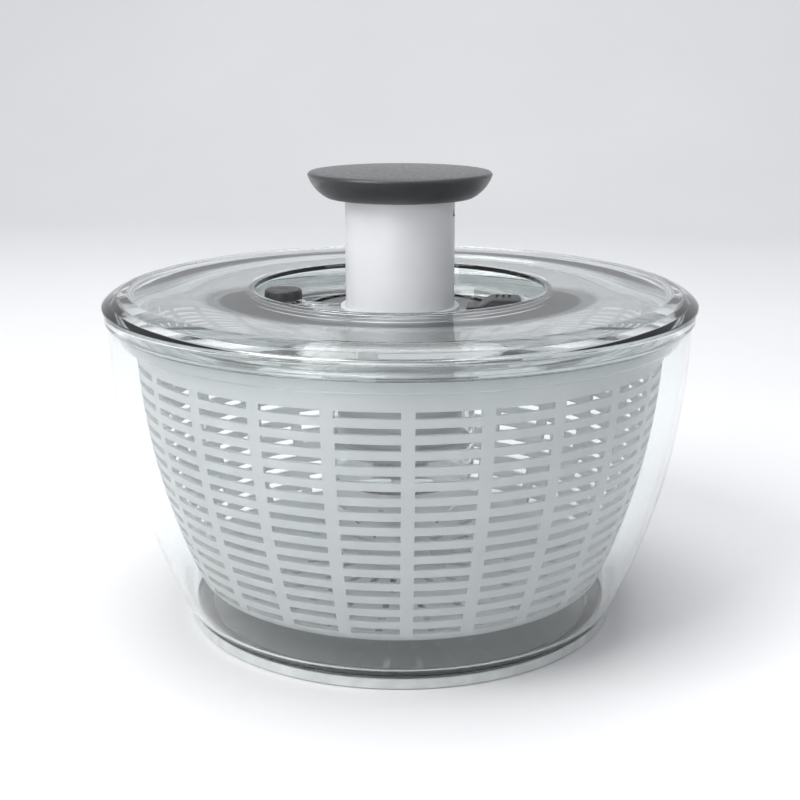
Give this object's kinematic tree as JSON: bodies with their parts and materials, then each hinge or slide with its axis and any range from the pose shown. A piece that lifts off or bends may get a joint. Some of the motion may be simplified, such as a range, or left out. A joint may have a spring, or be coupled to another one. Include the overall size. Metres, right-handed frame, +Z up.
{
  "type": "salad spinner",
  "caption": "Pump-action salad spinner: clear bowl and lid, slotted basket, push knob on a sprung column with a twisted spindle, brake button and lock slider.",
  "frame": {"origin": "centre of the base ring's underside, on the axis the basket turns about", "axes": "+Z up along the pump's axis, brake button on -X, lock slider on +X"},
  "size_m": [0.267, 0.267, 0.2046],
  "materials": {
    "clear_plastic": "polished, clear",
    "frosted_plastic": "frosted, translucent",
    "white_plastic": "satin",
    "dark_plastic": "fine matte",
    "dark_rubber": "soft-touch matte",
    "grey_rubber": "matte",
    "steel": "bright"
  },
  "bodies": {
    "bowl_unit": {"bowl": "clear_plastic", "base_ring": "grey_rubber", "pivot_pin": "steel"},
    "bearing": {"pivot_cup": "white_plastic"},
    "basket_unit": {"basket": "frosted_plastic"},
    "lid_unit": {"lid_shell": "clear_plastic", "guide_ring": "white_plastic", "pump_housing": "white_plastic", "housing_screws": "steel", "spindle_bush": "white_plastic", "clutch_spring": "steel", "lock_keeper": "white_plastic", "keeper_screws": "steel", "return_spring": "steel", "brake_spring": "steel"},
    "plunger_unit": {"knob_cap": "dark_rubber", "knob_core": "dark_plastic", "pump_column": "white_plastic", "nut_carrier": "white_plastic", "column_screws": "steel", "drive_nut": "white_plastic"},
    "spindle_unit": {"spindle": "steel", "ratchet_driver": "white_plastic", "spindle_screw": "steel"},
    "disc_unit": {"drive_disc": "clear_plastic", "ratchet_ring": "white_plastic", "ratchet_screws": "steel", "retaining_ring": "white_plastic"},
    "brake_unit": {"brake_button": "dark_plastic", "brake_stem": "white_plastic", "brake_pad": "dark_rubber"},
    "lock_unit": {"lock_slider": "dark_plastic", "lock_bolt": "white_plastic"}
  },
  "joints": [
    {"name": "lid_lift", "type": "slide", "parent": "bowl_unit", "child": "lid_unit", "axis": [0, 0, 1], "range_m": [0, 0.32]},
    {"name": "basket_lift", "type": "slide", "parent": "bowl_unit", "child": "bearing", "axis": [0, 0, 1], "range_m": [0, 0.16]},
    {"name": "basket_spin", "type": "hinge", "parent": "bearing", "child": "basket_unit", "pos_m": [0, 0, 0.026], "axis": [0, 0, 1], "continuous": true},
    {"name": "disc_spin", "type": "hinge", "parent": "lid_unit", "child": "disc_unit", "pos_m": [0, 0, 0.08], "axis": [0, 0, 1], "continuous": true},
    {"name": "pump_stroke", "type": "slide", "parent": "lid_unit", "child": "plunger_unit", "axis": [0, 0, -1], "range_m": [0, 0.048], "stiffness_N_per_m": 250, "springref_m": -0.02, "deforming": ["return_spring"]},
    {"name": "spindle_turn", "type": "hinge", "parent": "lid_unit", "child": "spindle_unit", "pos_m": [0, 0, 0.08], "axis": [0, 0, 1], "range_deg": [-5, 725]},
    {"name": "brake_press", "type": "slide", "parent": "lid_unit", "child": "brake_unit", "axis": [0, 0, -1], "range_m": [0, 0.0025], "stiffness_N_per_m": 400, "springref_m": -0.002, "deforming": ["brake_spring"]},
    {"name": "lock_slide", "type": "slide", "parent": "lid_unit", "child": "lock_unit", "axis": [-1, 0, 0], "range_m": [0, 0.0032]}
  ],
  "couplings": [
    {"joint": "basket_lift", "follows": "lid_lift", "ratio": 0.5},
    {"joint": "basket_spin", "follows": "disc_spin", "ratio": 1},
    {"joint": "spindle_turn", "follows": "pump_stroke", "rad_per_m": 261.8}
  ]
}
